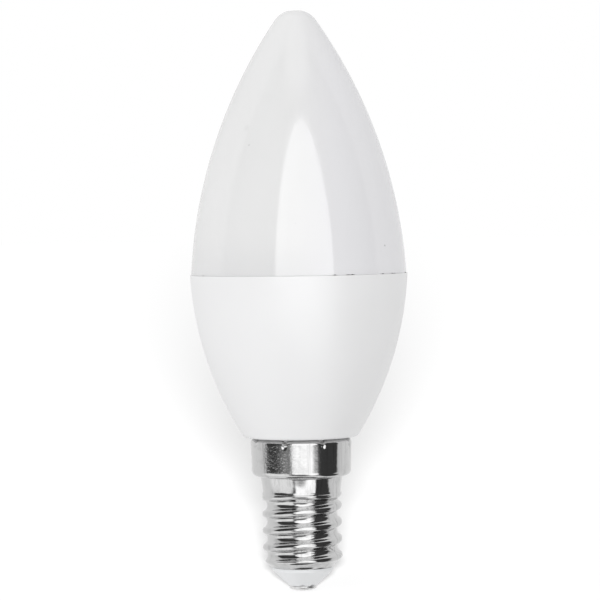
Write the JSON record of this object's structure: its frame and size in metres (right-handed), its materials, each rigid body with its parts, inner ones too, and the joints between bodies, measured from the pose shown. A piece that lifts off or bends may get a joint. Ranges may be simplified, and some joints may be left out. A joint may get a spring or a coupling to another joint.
{
  "type": "LED candle bulb",
  "caption": "Candle-shaped LED bulb with a pointed opal diffuser, a white plastic housing and a nickel-plated E14 screw cap.",
  "frame": {"origin": "centre of the end contact's flat, at the bottom of the cap", "axes": "+Z along the lamp's axis, from the cap to the tip; the lamp is nearly round, and -Y faces the picture's camera"},
  "size_m": [0.0366, 0.0366, 0.098],
  "materials": {
    "opal_plastic": "glossy opal",
    "white_plastic": "satin white",
    "nickel_plate": "bright nickel plate",
    "pale_insulator": "satin pale grey",
    "silicone": "soft white",
    "pressed_aluminium": "satin",
    "board_aluminium": "white solder mask",
    "emitter_package": "satin yellow resin",
    "steel_screw": "zinc plated",
    "board_laminate": "matte tan laminate",
    "black_plastic": "matte black",
    "pin_brass": "bright",
    "can_sleeve": "shrink sleeve",
    "ferrite": "matte grey-black",
    "winding_enamel": "enamelled copper",
    "resistor_coat": "matte lacquer",
    "lead_metal": "tinned"
  },
  "bodies": {
    "root": {"bridge_rectifier": "black_plastic", "cap_insulator": "pale_insulator", "contact_pin": "nickel_plate", "diffuser": "opal_plastic", "diffuser_adhesive": "silicone", "driver_board": "board_laminate", "driver_chip": "black_plastic", "fuse_resistor": "resistor_coat", "heat_sink": "pressed_aluminium", "housing": "white_plastic", "inductor_core": "ferrite", "inductor_winding": "winding_enamel", "input_capacitor": "can_sleeve", "led_1": "emitter_package", "led_2": "emitter_package", "led_3": "emitter_package", "led_4": "emitter_package", "led_5": "emitter_package", "led_6": "emitter_package", "led_7": "emitter_package", "led_8": "emitter_package", "led_board": "board_aluminium", "led_board_screw_1": "steel_screw", "led_board_screw_2": "steel_screw", "link_block": "black_plastic", "link_pin_1": "pin_brass", "link_pin_2": "pin_brass", "live_wire": "lead_metal", "neutral_wire": "lead_metal", "output_capacitor": "can_sleeve", "screw_shell": "nickel_plate"}
  },
  "joints": []
}
